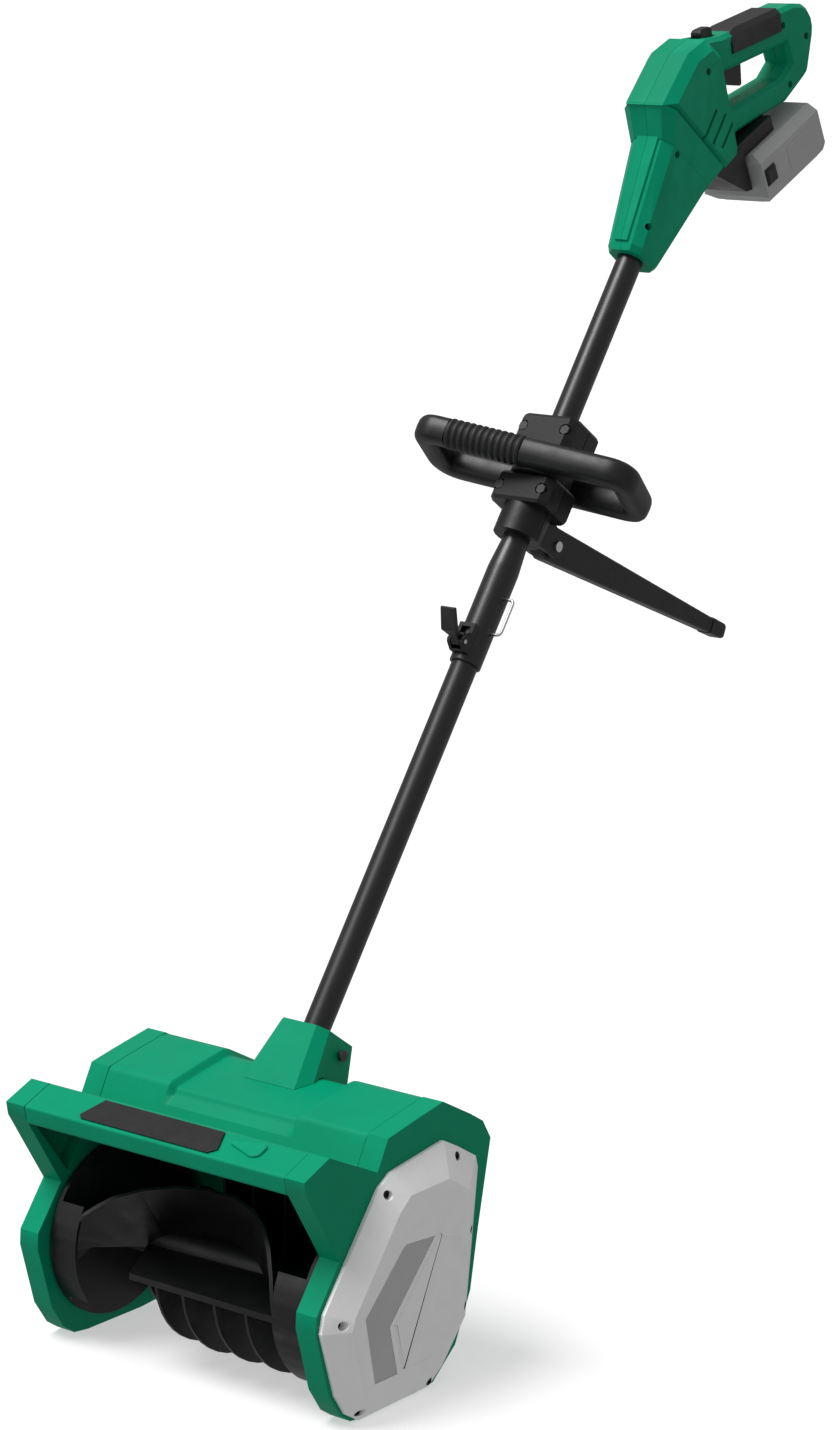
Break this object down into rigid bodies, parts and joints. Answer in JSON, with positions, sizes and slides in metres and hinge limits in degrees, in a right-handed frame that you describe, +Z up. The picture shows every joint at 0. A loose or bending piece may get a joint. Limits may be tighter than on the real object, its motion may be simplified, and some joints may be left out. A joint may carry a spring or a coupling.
{
  "type": "cordless snow shovel",
  "caption": "Battery snow thrower on a stick: wide auger between side plates, gear drive, two-part tube, sliding assist handle with prop leg, and trigger handle with slide-on battery.",
  "frame": {"origin": "middle of the bounding box at ground level", "axes": "+X to the drive side across the head, -Y towards the open front of the auger, +Z up"},
  "size_m": [0.362, 0.9598, 1.156],
  "materials": {
    "green_shell": "semi-gloss moulded plastic",
    "silver_cover": "satin silver paint on plastic",
    "dark_inlay": "satin grey",
    "black_plastic": "fine satin grain",
    "black_rubber": "soft matte",
    "black_tube": "gloss powder coat",
    "bare_steel": "ground",
    "dark_steel": "blackened",
    "bronze_bush": "sintered",
    "white_nylon": "smooth",
    "battery_grey": "fine grain",
    "cable": "smooth"
  },
  "bodies": {
    "frame": {"gear_case": "green_shell", "side_plate_left": "green_shell", "side_cover_left": "black_plastic", "auger_housing": "green_shell", "scraper_bar": "black_plastic", "label_plaque": "black_plastic", "drive_cover": "silver_cover", "chevron_inlay": "dark_inlay", "cover_screw_1": "dark_steel", "cover_screw_2": "dark_steel", "cover_screw_3": "dark_steel", "cover_screw_4": "dark_steel", "cover_screw_5": "dark_steel", "cover_screw_6": "dark_steel", "cover_screw_7": "dark_steel", "motor": "bare_steel", "gear_pin": "bare_steel", "bush_right": "bronze_bush", "bush_left": "bronze_bush", "neck_socket": "green_shell", "neck_bolt": "dark_steel", "lower_tube": "black_tube", "upper_tube": "black_tube", "power_lead": "cable", "lever_bracket": "black_plastic", "lever_pin": "bare_steel", "handle_shell_right": "green_shell", "handle_shell_left": "green_shell", "handle_screw_1": "dark_steel", "handle_screw_2": "dark_steel", "handle_screw_3": "dark_steel", "handle_screw_4": "dark_steel", "handle_screw_5": "dark_steel", "handle_screw_6": "dark_steel", "handle_screw_7": "dark_steel", "grip_pad": "black_rubber", "trigger_pin": "bare_steel", "switch_module": "black_plastic", "battery_base": "black_plastic"},
    "auger": {"auger": "black_plastic", "auger_shaft": "bare_steel", "auger_gear": "white_nylon"},
    "idler": {"compound_gear": "white_nylon"},
    "pinion": {"motor_pinion": "bare_steel"},
    "trigger": {"trigger": "black_plastic"},
    "lock_off": {"lock_off_button": "black_plastic"},
    "battery": {"battery_pack": "battery_grey"},
    "latch": {"battery_latch": "black_plastic"},
    "lever": {"lock_lever": "black_plastic"},
    "clip": {"wire_clip": "bare_steel"},
    "clamp": {"clamp_front": "black_plastic", "clamp_rear": "black_plastic", "clamp_bolt_1": "dark_steel", "clamp_bolt_2": "dark_steel", "clamp_bolt_3": "dark_steel", "clamp_bolt_4": "dark_steel", "leg_pin": "bare_steel"},
    "loop": {"assist_loop": "black_plastic", "ribbed_grip": "black_rubber"},
    "leg": {"prop_leg": "black_plastic"}
  },
  "joints": [
    {"name": "auger_spin", "type": "hinge", "parent": "frame", "child": "auger", "pos_m": [-0.009, -0.37394, 0.09], "axis": [1, 0, 0], "continuous": true},
    {"name": "idler_spin", "type": "hinge", "parent": "frame", "child": "idler", "pos_m": [-0.009, -0.33787, 0.15575], "axis": [1, 0, 0], "continuous": true},
    {"name": "pinion_spin", "type": "hinge", "parent": "frame", "child": "pinion", "pos_m": [-0.009, -0.31394, 0.205], "axis": [1, 0, 0], "continuous": true},
    {"name": "trigger_pull", "type": "hinge", "parent": "frame", "child": "trigger", "pos_m": [-0.009, 0.32601, 1.09884], "axis": [1, 0, 0], "range_deg": [0, 12], "stiffness_Nm_per_rad": 0.6, "springref_deg": -8.59},
    {"name": "lock_off_push", "type": "slide", "parent": "frame", "child": "lock_off", "axis": [0, 0.9743, 0.2252], "range_m": [0, 0.004], "stiffness_N_per_m": 250, "springref_m": -0.002},
    {"name": "battery_slide", "type": "slide", "parent": "frame", "child": "battery", "axis": [0, 0.9, 0.436], "range_m": [0, 0.12]},
    {"name": "battery_latch_press", "type": "slide", "parent": "battery", "child": "latch", "axis": [-1, 0, 0], "range_m": [0, 0.002], "stiffness_N_per_m": 400, "springref_m": -0.001},
    {"name": "lock_lever_lift", "type": "hinge", "parent": "frame", "child": "lever", "pos_m": [-0.009, -0.06288, 0.59626], "axis": [1, 0, 0], "range_deg": [0, 35], "stiffness_Nm_per_rad": 0.3, "springref_deg": -20.05},
    {"name": "wire_clip_pull", "type": "slide", "parent": "frame", "child": "clip", "axis": [1, 0, 0], "range_m": [0, 0.014]},
    {"name": "assist_height", "type": "slide", "parent": "frame", "child": "clamp", "axis": [0, 0.5807, 0.8141], "range_m": [0, 0.17]},
    {"name": "assist_swivel", "type": "hinge", "parent": "clamp", "child": "loop", "pos_m": [-0.009, 0.0656, 0.73677], "axis": [0, 0.5807, 0.8141], "range_deg": [-75, 75]},
    {"name": "leg_fold", "type": "hinge", "parent": "clamp", "child": "leg", "pos_m": [-0.009, 0.06866, 0.66703], "axis": [1, 0, 0], "range_deg": [-90, 0]}
  ],
  "couplings": [
    {"joint": "idler_spin", "follows": "auger_spin", "ratio": -4},
    {"joint": "pinion_spin", "follows": "auger_spin", "ratio": 25.2}
  ]
}
